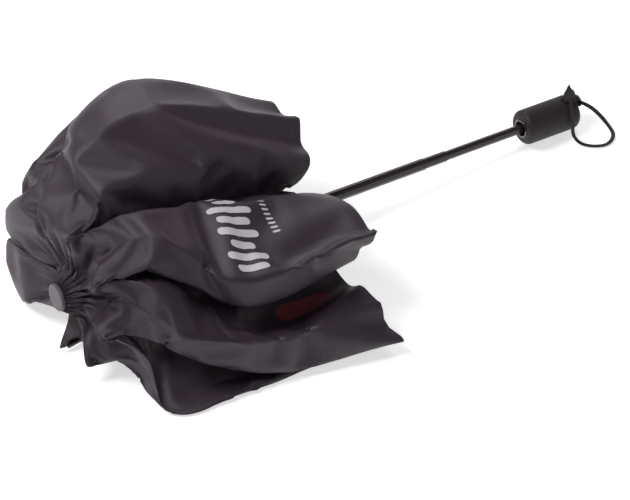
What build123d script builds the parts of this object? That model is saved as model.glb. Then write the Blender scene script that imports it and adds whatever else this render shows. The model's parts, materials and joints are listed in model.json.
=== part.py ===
from build123d import *

import os
from math import asin, atan2, cos, degrees, hypot, radians, sin, sqrt, tan

# Compact three-fold umbrella, lying on a table with its shaft drawn out and its canopy folded
# but not wrapped.
#
# The model is made in the shaft frame: X runs along the shaft from the crown cap's outer face
# to the handle, Y is level and Z is up. "t" is a place along X, "r" a distance from the shaft's
# axis and an azimuth turns from +Y towards +Z. The last step tips the umbrella until its crown
# end and its handle both touch the table, and puts the origin under the middle of its box.

# ---- Driving dimensions: millimetres and degrees ----

RIBS = 8

# Crown
CAP_R, CAP_FACE_R, CAP_THICK, CAP_CHAMFER = 12.0, 11.0, 3.0, 0.8
CROWN_PIVOT_T, CROWN_PIVOT_R = 9.0, 9.0
NOTCH_R, NOTCH_END_T = 12.0, 14.0
WIRE_R = 0.35

# Rib bars, closed and open. Each angle is turned from +X outwards in the rib's own plane.
TOP_RIB, MID_RIB, OUTER_RIB = 182.0, 182.0, 207.0
TOP_CLOSED, TOP_OPEN = 2.6, 88.0
MID_CLOSED, MID_OPEN = 166.3, 72.0
OUTER_CLOSED, OUTER_OPEN = -9.2, 55.0
STRETCHER, STRETCHER_REACH = 125.0, 90.0
BAR_HEIGHT, BAR_THICK, BAR_GAP = 2.6, 2.0, 0.3
CHANNEL_WIDTH, CHANNEL_DEPTH, CHANNEL_MARGIN = 1.0, 1.6, 6.0
PIN_R, PIN_CLEARANCE = 0.65, 0.1
SPOKE_R, TIP_BALL_R = 0.9, 2.0

# Runner
RUNNER_PIVOT_R = 9.0
RUNNER_HEAD_R, RUNNER_SLEEVE_R, RUNNER_FLANGE_R = 12.0, 7.4, 10.0
RUNNER_LENGTH, RUNNER_HEAD, RUNNER_FLANGE = 30.0, 9.0, 4.0
RUNNER_CLEARANCE = 0.25
SLOT_WIDTH = 2.4
BUTTON_LENGTH, BUTTON_WIDTH, BUTTON_TOP_R, BUTTON_FOOT_R = 6.0, 3.2, 10.5, 6.9
BUTTON_TRAVEL, BUTTON_CLEARANCE = 1.0, 0.2

# Shaft tubes: across flats, wall, and the place of each end
FLATS = {1: 11.2, 2: 10.0, 3: 9.1, 4: 8.0}
TUBE_GAP = 0.1
WALL_4 = 0.5
CORNER_ROUND = 0.9
TUBE_1_END, TUBE_2_END, TUBE_3_END = 244.0, 373.0, 396.0
TUBE_2_LENGTH, TUBE_3_LENGTH = 168.0, 168.0
HANDLE_T, TUBE_4_START = 479.0, 330.0
PLUG = 4.0

# Shaft travel: shut and fully drawn, from the drawn-out length above
TUBE_2_SHUT, TUBE_3_SHUT, TUBE_4_SHUT = -123.0, -18.0, -77.0
TUBE_3_DRAWN, TUBE_4_DRAWN = 50.0, 10.0

# Handle
GRIP_R, GRIP_LENGTH, GRIP_FRONT_ROUND, GRIP_END_ROUND = 16.0, 58.0, 5.0, 7.0
SOCKET_R, SOCKET_DEPTH = 6.75, 22.0
COLLAR_R, COLLAR_LENGTH, COLLAR_PROUD = 9.0, 9.0, 0.8
END_WALL = 8.0
FIT_GAP = 0.05
CORE_SEAT = 4.0
STRAP_HOLE_R, STRAP_HOLE_Y, STRAP_HOLE_Z = 2.6, -3.0, 8.0

KNOT_R, STRAP_LIFT = 2.2, 0.3
BUNCH_BACK, BUNCH_LEAN, BUNCH_Y, BUNCH_HEIGHT = 9.0, 2.0, 1.0, 11.0
BUNCH_FOOT, BUNCH_CREST = (3.0, 2.0), (6.5, 3.6)

# Canopy
CLOTH = 1.2
CLOTH_CLEAR = 0.6
SEAM_GAP = 1.4
MITRE_LIMIT = 0.25
GATHER_INNER_R, GATHER_R = 7.5, 14.5
FOLD_T, FOLD_R = 8.5, 64.5
SHOULDER_T = 20.0
HEM_PAST_TIP = 4.0

# Each flap's fold, from the crown end to the hem: three points a row, each as t, azimuth, radius
FLAPS = [
    [
        [(6, 4, 90), (5, 20, 93), (7, 36, 82)],
        [(20, 2, 96), (19, 20, 102), (20, 36, 94)],
        [(48, 0, 104), (46, 22, 117), (50, 36, 112)],
        [(110, -3, 108), (105, 18, 135), (110, 34, 138)],
        [(235, -3, 90), (246, 12, 104), (240, 30, 80)],
    ],
    [
        [(8, 50, 78), (8, 66, 76), (10, 84, 70)],
        [(20, 48, 90), (20, 66, 86), (20, 84, 76)],
        [(50, 44, 112), (50, 64, 108), (50, 84, 84)],
        [(125, 41.5, 151), (130, 62, 128), (140, 86, 84)],
        [(248, 42, 97), (252, 66, 82), (238, 97, 62)],
    ],
    [
        [(10, 96, 69), (9, 112, 74), (11, 130, 68)],
        [(20, 96, 71), (20, 114, 78), (20, 132, 71)],
        [(50, 96, 72), (50, 118, 84), (48, 136, 78)],
        [(130, 100, 58), (120, 152, 108), (122, 168, 96)],
        [(248, 137, 76), (252, 153, 122), (243, 173, 88)],
    ],
    [
        [(11, 140, 66), (10, 158, 70), (12, 174, 66)],
        [(20, 142, 70), (20, 162, 78), (20, 177, 72)],
        [(48, 150, 78), (50, 172, 92), (46, 186, 84)],
        [(125, 184, 92), (128, 178, 122), (124, 196, 124)],
        [(238, 185, 97), (250, 178, 133), (256, 192, 167)],
    ],
    [
        [(13, 186, 66), (13, 204, 72), (14, 220, 84)],
        [(20, 190, 74), (20, 206, 90), (20, 220, 88)],
        [(50, 206, 96), (52, 208, 125), (52, 217, 100)],
        [(125, 203, 128), (120, 205, 142), (125, 212, 104)],
        [(236, 196, 129), (240, 198, 139), (236, 206, 101)],
    ],
    [
        [(12, 230, 80), (12, 248, 71), (13, 264, 67)],
        [(20, 229, 82), (20, 246, 72), (20, 263, 67)],
        [(50, 222, 86), (50, 236, 74), (50, 258, 63)],
        [(125, 222, 70), (125, 236, 64), (125, 256, 54)],
        [(238, 212, 66), (238, 222, 60), (236, 250, 42)],
    ],
    [
        [(13, 276, 67), (12, 292, 72), (12, 310, 84)],
        [(20, 277, 67), (20, 296, 73), (20, 312, 85)],
        [(50, 282, 64), (50, 304, 74), (50, 318, 86)],
        [(125, 284, 54), (125, 304, 66), (125, 316, 78)],
        [(236, 290, 43), (238, 310, 58), (238, 322, 66)],
    ],
    [
        [(11, 320, 92), (9, 338, 92), (8, 354, 92)],
        [(20, 321, 95), (20, 338, 98), (20, 353, 96)],
        [(50, 324, 104), (50, 336, 116), (50, 352, 108)],
        [(125, 322, 90), (125, 334, 122), (120, 352, 112)],
        [(238, 330, 80), (240, 338, 104), (238, 352, 96)],
    ],
]
FLAP_RIB = 207.0  # the outer rib length that the flaps' points were chosen for

# Wrist strap: a narrow ribbon, looped from the handle's end and back over its near side.
# Its points are t past the handle's front face, Y and Z.
STRAP_D = 3.6
STRAP_ROUTE = [
    (63.2, -4.0, 9.5),
    (69.0, -8.0, 7.0),
    (77.0, -15.0, -1.0),
    (83.0, -25.0, -10.5),
    (80.0, -37.0, -11.0),
    (68.0, -44.0, -12.2),
    (56.0, -39.0, -13.4),
    (47.0, -29.5, -14.0),
    (43.5, -21.5, -8.0),
    (43.5, -19.4, 3.0),
    (44.5, -13.5, 14.5),
    (49.0, -5.0, 19.6),
]

# ---- Places that follow from the dimensions ----


def step(start, length, angle):
    """The far end, as (t, r), of a bar that leaves start at an angle from +X outwards."""
    return (start[0] + length * cos(radians(angle)), start[1] + length * sin(radians(angle)))


CROWN_PIVOT = (CROWN_PIVOT_T, CROWN_PIVOT_R)
ELBOW = step(CROWN_PIVOT, TOP_RIB, TOP_CLOSED)
KNEE = step(ELBOW, MID_RIB, MID_CLOSED)
TIP = step(KNEE, OUTER_RIB, OUTER_CLOSED)
STRETCHER_TOP = step(CROWN_PIVOT, STRETCHER_REACH, TOP_CLOSED)
STRETCHER_TOP_OPEN = step(CROWN_PIVOT, STRETCHER_REACH, TOP_OPEN)


def runner_place(top):
    """Where the runner's pivot lies along the shaft when the stretcher's far end is at top."""
    return top[0] + sqrt(STRETCHER**2 - (top[1] - RUNNER_PIVOT_R) ** 2)


RUNNER_T = runner_place(STRETCHER_TOP)
RUNNER_OPEN_T = runner_place(STRETCHER_TOP_OPEN)
RUNNER_TRAVEL = RUNNER_T - RUNNER_OPEN_T
RUNNER_PIVOT = (RUNNER_T, RUNNER_PIVOT_R)


def pitch(tail, head):
    """The angle, from +X outwards, of the line from tail to head."""
    return degrees(atan2(head[1] - tail[1], head[0] - tail[0]))


STRETCHER_CLOSED = pitch(RUNNER_PIVOT, STRETCHER_TOP)
STRETCHER_OPEN = pitch((RUNNER_OPEN_T, RUNNER_PIVOT_R), STRETCHER_TOP_OPEN)
TOP_SWING = TOP_OPEN - TOP_CLOSED
MID_SWING = (MID_OPEN - MID_CLOSED) - TOP_SWING
OUTER_SWING = (OUTER_OPEN - OUTER_CLOSED) - (MID_OPEN - MID_CLOSED)
STRETCHER_SWING = STRETCHER_OPEN - STRETCHER_CLOSED

SIDE = BAR_THICK + BAR_GAP  # sideways step between bars that lie next to each other
STRETCHER_SIDE, MID_SIDE = SIDE, -SIDE
HOLE_R = PIN_R + PIN_CLEARANCE
GRIP_END = HANDLE_T + GRIP_LENGTH
CORE_START, CORE_END = HANDLE_T + SOCKET_DEPTH, GRIP_END - END_WALL
TUBE_4_END = CORE_END - CORE_SEAT
BORES = {1: FLATS[2] + 2 * TUBE_GAP, 2: FLATS[3] + 2 * TUBE_GAP, 3: FLATS[4] + 2 * TUBE_GAP}
BORES[4] = FLATS[4] - 2 * WALL_4
TUBE_1_CORNER_R = FLATS[1] / 2 / cos(radians(22.5))
RUNNER_BORE_R = TUBE_1_CORNER_R + RUNNER_CLEARANCE

# The table, seen from the shaft frame: it touches the cloth under the lowest rib's fold and the
# rounded end of the handle.
TABLE_R = FOLD_R + 1.7
_rise = (TABLE_R - GRIP_R + GRIP_END_ROUND, GRIP_END - GRIP_END_ROUND - SHOULDER_T)
TILT = degrees(atan2(*_rise) - asin(GRIP_END_ROUND / hypot(*_rise)))


def table(t):
    """Height of the table under a place along the shaft."""
    return -TABLE_R + (t - SHOULDER_T) * tan(radians(TILT))


def azimuth(rib):
    """Azimuth of a rib, counted from 1."""
    return 360.0 / RIBS * (rib - 1)


# ---- Helpers ----


def across(t):
    """Plane square to the shaft at t, with its X along Y and its Y along Z."""
    return Plane(origin=(t, 0, 0), x_dir=(0, 1, 0), z_dir=(1, 0, 0))


def rib_plane(angle, side=0.0):
    """Plane of one rib: X along the shaft, Y outwards, moved sideways by side."""
    a = radians(angle)
    normal = Vector(0, -sin(a), cos(a))
    return Plane(origin=normal * side, x_dir=(1, 0, 0), z_dir=normal)


def polar(t, angle, r):
    """Point at a place along the shaft, an azimuth and a radius."""
    return Vector(t, r * cos(radians(angle)), r * sin(radians(angle)))


def ring(t, length, outer, inner):
    """Round sleeve along the shaft from t."""
    return across(t) * extrude(Circle(outer) - Circle(inner), length)


def disc(t, length, r):
    """Round plug along the shaft from t."""
    return across(t) * extrude(Circle(r), length)


def octagon(flats):
    """Eight-sided outline with rounded corners."""
    outline = RegularPolygon(flats / 2, 8, major_radius=False)
    return fillet(outline.vertices(), CORNER_ROUND)


def hoop(t, r, wire):
    """Closed wire ring round the shaft."""
    return across(t) * Torus(r, wire)


def bar(angle, side, start, end, pins=(), holes=(), channel=False):
    """Flat rib bar with round eyes, in the plane of the rib at an azimuth.

    pins are points where a rivet stands out towards the neighbour on the negative side, and
    holes are points with a rivet hole. A channel bar is grooved on the side nearer the shaft.
    """
    plane = rib_plane(angle, side)
    middle = ((start[0] + end[0]) / 2, (start[1] + end[1]) / 2)
    length = hypot(end[0] - start[0], end[1] - start[1])
    slope = pitch(start, end)
    outline = Pos(*middle) * Rot(0, 0, slope) * SlotCenterToCenter(length, BAR_HEIGHT)
    solid = extrude(outline, BAR_THICK / 2, both=True)
    if channel:
        inward = -1 if abs(slope) < 90 else 1
        groove = Box(length - 2 * CHANNEL_MARGIN, 2 * CHANNEL_DEPTH, CHANNEL_WIDTH)
        solid -= Pos(*middle) * Rot(0, 0, slope) * Pos(0, inward * BAR_HEIGHT / 2, 0) * groove
    for point in pins:
        solid += Pos(*point, -SIDE / 2 - BAR_THICK / 4) * Cylinder(PIN_R, SIDE + BAR_THICK / 2)
    for point in holes:
        solid -= Pos(*point) * Cylinder(HOLE_R, 2 * BAR_THICK)
    return plane * solid


# ---- Crown and shaft ----


def crown_cap():
    """Plain round cap that clamps the cloth on the crown."""
    cap = disc(0, CAP_THICK, CAP_R)
    front = cap.faces().sort_by(Axis.X)[0]
    return chamfer(front.edges(), CAP_CHAMFER, CAP_R - CAP_FACE_R)


def top_notch():
    """Slotted hub that holds the top ribs on their wire, fixed on the shaft's end."""
    start = CAP_THICK + CLOTH
    slot_t = CROWN_PIVOT_T - BAR_HEIGHT / 2 - BAR_GAP
    hub = disc(start, NOTCH_END_T - start, NOTCH_R)
    hub -= across(slot_t - 1.0) * extrude(octagon(FLATS[1]), NOTCH_END_T)
    for rib in range(1, RIBS + 1):
        slot = Box(NOTCH_END_T, NOTCH_R, SLOT_WIDTH, align=(Align.MIN, Align.MIN, Align.CENTER))
        hub -= rib_plane(azimuth(rib)) * Pos(slot_t, RUNNER_SLEEVE_R) * slot
    return hub - hoop(CROWN_PIVOT_T, CROWN_PIVOT_R, WIRE_R + FIT_GAP)


def tube(number, start, end):
    """One eight-sided shaft tube."""
    section = octagon(FLATS[number]) - octagon(BORES[number])
    return across(start) * extrude(section, end - start)


def tube_plug(number, start):
    """Plug that closes the crown end of a sliding tube."""
    return across(start) * extrude(octagon(BORES[number]), PLUG)


# ---- Runner ----


def runner():
    """Runner: slotted head for the stretchers, sleeve with the button's window, grip flange."""
    start = RUNNER_T - RUNNER_HEAD / 2
    solid = ring(start, RUNNER_LENGTH, RUNNER_SLEEVE_R, RUNNER_BORE_R)
    solid += ring(start, RUNNER_HEAD, RUNNER_HEAD_R, RUNNER_BORE_R)
    solid += ring(start + RUNNER_LENGTH - RUNNER_FLANGE, RUNNER_FLANGE, RUNNER_FLANGE_R, RUNNER_BORE_R)
    for rib in range(1, RIBS + 1):
        depth = RUNNER_HEAD / 2 + BAR_HEIGHT / 2 + BAR_GAP
        slot = Box(depth, RUNNER_HEAD_R, SLOT_WIDTH, align=(Align.MIN, Align.MIN, Align.CENTER))
        place = rib_plane(azimuth(rib), STRETCHER_SIDE)
        solid -= place * Pos(start, RUNNER_SLEEVE_R) * slot
    window = Box(
        BUTTON_LENGTH + 2 * BUTTON_CLEARANCE, 2 * RUNNER_SLEEVE_R, BUTTON_WIDTH + 2 * BUTTON_CLEARANCE
    )
    solid -= rib_plane(BUTTON_AZIMUTH) * Pos(BUTTON_T, RUNNER_SLEEVE_R + 1.0) * window
    return solid - hoop(RUNNER_T, RUNNER_HOOP_R, WIRE_R + FIT_GAP)


RUNNER_HOOP_R = hypot(RUNNER_PIVOT_R, STRETCHER_SIDE)
BUTTON_AZIMUTH = azimuth(3) + 180.0 / RIBS
BUTTON_T = RUNNER_T + RUNNER_LENGTH / 2 - RUNNER_FLANGE / 2


def runner_button():
    """Button that lets the runner go from the shaft."""
    height = BUTTON_TOP_R - BUTTON_FOOT_R
    body = Box(BUTTON_LENGTH, height, BUTTON_WIDTH)
    body = fillet(body.faces().sort_by(Axis.Y)[-1].edges(), 0.6)
    return rib_plane(BUTTON_AZIMUTH) * Pos(BUTTON_T, BUTTON_FOOT_R + height / 2) * body


# ---- Ribs ----


def top_rib(angle):
    """Channel from the crown to the elbow, with the elbow's rivet."""
    return bar(angle, 0, CROWN_PIVOT, ELBOW, pins=[ELBOW], holes=[CROWN_PIVOT], channel=True)


def stretcher(angle):
    """Bar from the runner to the top rib."""
    return bar(angle, STRETCHER_SIDE, RUNNER_PIVOT, STRETCHER_TOP, holes=[RUNNER_PIVOT, STRETCHER_TOP])


def mid_rib(angle):
    """Channel from the elbow back to the knee."""
    return bar(angle, MID_SIDE, ELBOW, KNEE, holes=[ELBOW, KNEE], channel=True)


def outer_rib(angle):
    """Wire from the knee to the canopy's hem, with a flat eye, the knee's rivet and a ball tip."""
    eye_end = step(KNEE, 3 * BAR_HEIGHT, OUTER_CLOSED)
    eye = bar(angle, 0, KNEE, eye_end, pins=[KNEE])
    place = rib_plane(angle) * Pos(*eye_end) * Rot(0, 0, OUTER_CLOSED) * Rot(0, 90, 0)
    spoke = place * extrude(Circle(SPOKE_R), OUTER_RIB - 3 * BAR_HEIGHT)
    ball = rib_plane(angle) * Pos(*TIP) * Sphere(TIP_BALL_R)
    return eye + spoke + ball


# ---- Handle ----


def handle_grip():
    """Soft round handle, bored from the front, with the strap's hole in its end wall."""
    grip = disc(HANDLE_T, GRIP_LENGTH, GRIP_R)
    ends = grip.faces().filter_by(GeomType.PLANE).sort_by(Axis.X)
    grip = fillet(ends[0].edges(), GRIP_FRONT_ROUND)
    grip = fillet(grip.faces().filter_by(GeomType.PLANE).sort_by(Axis.X)[-1].edges(), GRIP_END_ROUND)
    grip -= disc(HANDLE_T, GRIP_LENGTH - END_WALL, COLLAR_R + FIT_GAP)
    hole = Pos(CORE_END, STRAP_HOLE_Y, STRAP_HOLE_Z) * Rot(0, 90, 0) * Cylinder(STRAP_HOLE_R, 4 * END_WALL)
    return grip - hole


def handle_collar():
    """Glossy ring round the handle's socket."""
    collar = ring(HANDLE_T - COLLAR_PROUD, COLLAR_LENGTH, COLLAR_R, SOCKET_R)
    front = collar.faces().filter_by(GeomType.PLANE).sort_by(Axis.X)[0]
    return fillet(front.edges(), COLLAR_PROUD * 0.8)


def handle_core():
    """Plug inside the handle that holds the thinnest tube."""
    core = disc(CORE_START, CORE_END - CORE_START, COLLAR_R)
    core -= across(CORE_START) * extrude(octagon(FLATS[4]), TUBE_4_END - CORE_START)
    hole = Pos(CORE_END, STRAP_HOLE_Y, STRAP_HOLE_Z) * Rot(0, 90, 0) * Cylinder(STRAP_HOLE_R, 2 * CORE_SEAT)
    return core - hole


def strap_knot():
    """Knot that stops the strap outside the handle's end."""
    return Pos(GRIP_END + KNOT_R + STRAP_LIFT, STRAP_HOLE_Y, STRAP_HOLE_Z + KNOT_R) * Sphere(KNOT_R)


def strap_bunch():
    """Gathered end of the strap, standing fanned out on top of the handle's end."""
    foot = Pos(GRIP_END - BUNCH_BACK, BUNCH_Y, GRIP_R + STRAP_LIFT) * Ellipse(*BUNCH_FOOT)
    crest = Pos(GRIP_END - BUNCH_BACK + BUNCH_LEAN, BUNCH_Y, GRIP_R + BUNCH_HEIGHT) * Ellipse(*BUNCH_CREST)
    return loft([foot, crest])


def wrist_strap():
    """Ribbon loop, as a plain tube along its route."""
    points = [Vector(HANDLE_T + t, y, z) for t, y, z in STRAP_ROUTE]
    radii = []
    for before, corner, after in zip(points, points[1:], points[2:]):
        one, two = corner - before, after - corner
        turn = radians(one.get_angle(two))
        radii.append(0.45 * min(one.length, two.length) / tan(turn / 2))
    path = FilletPolyline(*points, radius=radii)
    section = Plane(origin=path @ 0, z_dir=path % 0) * Circle(STRAP_D / 2)
    solid = sweep(section, path=path)
    print("strap length", round(path.length, 1), "radii", [round(r, 1) for r in radii])
    print("strap volume over section times length", round(solid.volume / section.area / path.length, 4))
    return solid


# ---- Canopy ----


def seam_point(t, r, rib, side):
    """Point on a seam beside a rib: side is +1 for the flap after it, -1 for the flap before it."""
    plane = rib_plane(azimuth(rib), side * SEAM_GAP)
    return plane.from_local_coords(Vector(t, r, 0))


def seam_radius(t):
    """Radius of the cloth's outside where it passes over a closed outer rib."""
    rib_r = KNEE[1] + (t - KNEE[0]) * tan(radians(OUTER_CLOSED))
    return rib_r + BAR_HEIGHT / 2 + CLOTH_CLEAR + CLOTH


def flap_point(t, angle, r):
    """Point on a flap's fold, standing off its seams, and on the table where it would cross it."""
    scale = OUTER_RIB / FLAP_RIB
    seam = seam_radius(t)
    point = polar(t * scale, angle, seam_radius(t * scale) + (r - seam) * scale)
    point.Z = max(point.Z, table(point.X))
    return point


def gather_row(t, r, rib):
    """Row of points round the crown's gather, from one seam to the next."""
    angles = [azimuth(rib) + 360.0 / RIBS * share for share in (0.3, 0.5, 0.7)]
    middle = [polar(t, angle, r) for angle in angles]
    return [seam_point(t, r, rib, 1), *middle, seam_point(t, r, rib + 1, -1)]


def flap_rows(rib):
    """Outside and inside of the cloth between a rib and the next, as rows from crown to hem."""
    rows = [gather_row(CAP_THICK, GATHER_INNER_R, rib), gather_row(CAP_THICK, GATHER_R, rib)]
    seams = [FOLD_T, SHOULDER_T, 0.22 * TIP[0], 0.56 * TIP[0], TIP[0] + HEM_PAST_TIP]
    for t, points in zip(seams, FLAPS[rib - 1]):
        r = FOLD_R if t == FOLD_T else seam_radius(t)
        ends = seam_point(t, r, rib, 1), seam_point(t, r, rib + 1, -1)
        rows.append([ends[0], *[flap_point(*point) for point in points], ends[1]])
    return rows, [inside_row(number, row) for number, row in enumerate(rows)]


def inside_row(number, row):
    """The cloth's inside for one row: gather rows face the crown, rows past the fold face out."""
    back = Vector(CLOTH if number <= 2 else 0, 0, 0)
    if number < 2:
        return [point + back for point in row]
    runs = [(Vector(0, b.Y - a.Y, b.Z - a.Z)).normalized() for a, b in zip(row, row[1:])]
    normals = [Vector(0, -run.Z, run.Y) for run in runs]
    pairs = zip([normals[0], *normals], [*normals, normals[-1]])
    mitres = [(a + b).normalized() * (CLOTH / max(MITRE_LIMIT, (a + b).length / 2)) for a, b in pairs]
    return [point + back + mitre for point, mitre in zip(row, mitres)]


def panel(rib):
    """One cloth panel of the canopy, hanging in its fold between two ribs."""
    outer, inner = flap_rows(rib)
    faces = []

    def quad(a, b, c, d, turned=False):
        halves = ((a, b, d), (b, c, d)) if turned else ((a, b, c), (a, c, d))
        for corners in halves:
            faces.append(Face(Wire.make_polygon(corners, close=True)))

    last_row, last = len(outer) - 1, len(outer[0]) - 1
    for i in range(last_row):
        for j in range(last):
            for rows in (outer, inner):
                quad(rows[i][j], rows[i][j + 1], rows[i + 1][j + 1], rows[i + 1][j], j > last / 2)
        for j in (0, last):
            quad(outer[i][j], outer[i + 1][j], inner[i + 1][j], inner[i][j])
    for i in (0, last_row):
        for j in range(last):
            quad(outer[i][j], outer[i][j + 1], inner[i][j + 1], inner[i][j])
    solid = Solid(Shell(faces))
    return solid if solid.volume > 0 else Solid(Shell([-face for face in faces]))


# ---- Assembly ----


def shaft_frame_solids():
    """Every piece by its node's name, in the shaft frame."""
    tube_2_start = TUBE_2_END - TUBE_2_LENGTH
    tube_3_start = TUBE_3_END - TUBE_3_LENGTH
    solids = {
        "crown_cap": crown_cap(),
        "top_notch": top_notch(),
        "notch_wire": hoop(CROWN_PIVOT_T, CROWN_PIVOT_R, WIRE_R),
        "tube_1": tube(1, CROWN_PIVOT_T - BAR_HEIGHT / 2 - BAR_GAP - 1.0, TUBE_1_END),
        "tube_2": tube(2, tube_2_start, TUBE_2_END),
        "tube_2_plug": tube_plug(2, tube_2_start),
        "tube_3": tube(3, tube_3_start, TUBE_3_END),
        "tube_3_plug": tube_plug(3, tube_3_start),
        "tube_4": tube(4, TUBE_4_START, TUBE_4_END),
        "tube_4_plug": tube_plug(4, TUBE_4_START),
        "runner": runner(),
        "runner_wire": hoop(RUNNER_T, RUNNER_HOOP_R, WIRE_R),
        "runner_button": runner_button(),
        "handle_grip": handle_grip(),
        "handle_collar": handle_collar(),
        "handle_core": handle_core(),
        "wrist_strap": wrist_strap(),
        "strap_bunch": strap_bunch(),
        "strap_knot": strap_knot(),
    }
    for rib in range(1, RIBS + 1):
        angle = azimuth(rib)
        solids[f"top_rib_{rib}"] = top_rib(angle)
        solids[f"stretcher_{rib}"] = stretcher(angle)
        solids[f"mid_rib_{rib}"] = mid_rib(angle)
        solids[f"outer_rib_{rib}"] = outer_rib(angle)
        solids[f"panel_{rib}"] = panel(rib)
    return solids


CORD_NODES = ("wrist_strap", "strap_bunch", "strap_knot")


def table_frame(solids):
    """Location that lays the shaft frame on the table, with the origin under the box's middle."""
    tipped = Rot(0, TILT, 0)
    boxes = [(tipped * s).bounding_box() for n, s in solids.items() if n not in CORD_NODES]
    low = [min(getattr(b.min, axis) for b in boxes) for axis in "XYZ"]
    high = [max(getattr(b.max, axis) for b in boxes) for axis in "XYZ"]
    return Pos(-(low[0] + high[0]) / 2, -(low[1] + high[1]) / 2, -low[2]) * tipped


def build():
    """Write one file per piece and return the pieces and the frame that places them."""
    solids = shaft_frame_solids()
    frame = table_frame(solids)
    os.makedirs("parts", exist_ok=True)
    for name, solid in solids.items():
        export_step(frame * solid, f"parts/{name}.step")
    return solids, frame


if __name__ == "__main__":
    build()
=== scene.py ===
"""Looks of a compact folding umbrella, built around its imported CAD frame."""

import json
import logging
import math
from dataclasses import dataclass
from enum import Enum
from typing import ClassVar

import bpy
import numpy as np
from mathutils import Matrix, Vector


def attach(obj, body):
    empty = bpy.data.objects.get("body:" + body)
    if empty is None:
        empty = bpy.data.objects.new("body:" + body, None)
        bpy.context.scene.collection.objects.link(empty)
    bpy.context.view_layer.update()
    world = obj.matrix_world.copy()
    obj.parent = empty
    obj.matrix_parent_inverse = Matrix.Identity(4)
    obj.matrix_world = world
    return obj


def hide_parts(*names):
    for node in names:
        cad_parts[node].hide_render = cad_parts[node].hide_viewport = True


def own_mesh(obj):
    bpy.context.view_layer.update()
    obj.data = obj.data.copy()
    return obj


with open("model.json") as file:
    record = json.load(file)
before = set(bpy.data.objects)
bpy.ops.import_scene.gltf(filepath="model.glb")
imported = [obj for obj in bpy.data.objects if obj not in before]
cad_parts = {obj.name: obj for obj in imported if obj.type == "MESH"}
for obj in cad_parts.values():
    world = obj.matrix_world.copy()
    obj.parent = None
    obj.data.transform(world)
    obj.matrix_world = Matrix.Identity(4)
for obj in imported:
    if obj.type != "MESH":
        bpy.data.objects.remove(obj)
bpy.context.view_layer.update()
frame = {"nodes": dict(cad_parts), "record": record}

LOG = logging.getLogger("umbrella")
MM = 0.001
RIBS = 8
PANEL_TURN = 360.0 / RIBS
CLOTH_MAP = "cloth"


class Body(str, Enum):
    """Moving bodies that new pieces ride on."""

    CROWN = "crown"
    HANDLE = "handle"


class Slot(str, Enum):
    """Material slots of the record."""

    CLOTH = "canopy_cloth"
    CAP = "cap_plastic"
    BLACK = "black_plastic"
    BUTTON = "button_plastic"
    WIRE = "bare_wire"
    SHAFT = "shaft_steel"
    RIB = "rib_steel"
    GRIP = "soft_touch"
    COLLAR = "gloss_collar"
    RIBBON = "ribbon"


# ---- Shaft frame ----


@dataclass(frozen=True)
class ShaftFrame:
    """Frame of the shaft: X from the crown cap to the handle, Y level, Z up. Points go in as mm."""

    origin: Vector
    along: Vector

    @classmethod
    def of_record(cls, record: dict) -> "ShaftFrame":
        """Reads the frame from the crown's mount.

        Args:
            record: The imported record.

        Returns:
            The shaft frame in the row frame.
        """
        face = next(m for m in record["mounts"] if m["name"] == "crown_face")
        return cls(Vector(face["pos_m"]), -Vector(face["axis"]).normalized())

    @property
    def axes(self) -> Matrix:
        """Columns are the shaft frame's X, Y and Z in the row frame."""
        side = Vector((0, 1, 0))
        return Matrix((self.along, side, self.along.cross(side))).transposed()

    def place(self, t: float, y: float, z: float) -> Vector:
        """Turns a point of the shaft frame, in mm, into the row frame, in metres.

        Args:
            t: Place along the shaft.
            y: Level distance from the axis.
            z: Distance above the axis.

        Returns:
            The point in the row frame.
        """
        return self.origin + self.axes @ Vector((t, y, z)) * MM

    def many(self, points: np.ndarray) -> np.ndarray:
        """Turns an array of points of the shaft frame, in mm, into the row frame, in metres."""
        return np.array(self.origin) + points @ np.array(self.axes).T * MM


SHAFT = ShaftFrame.of_record(frame["record"])


# ---- Node groups and finishes ----


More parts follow.
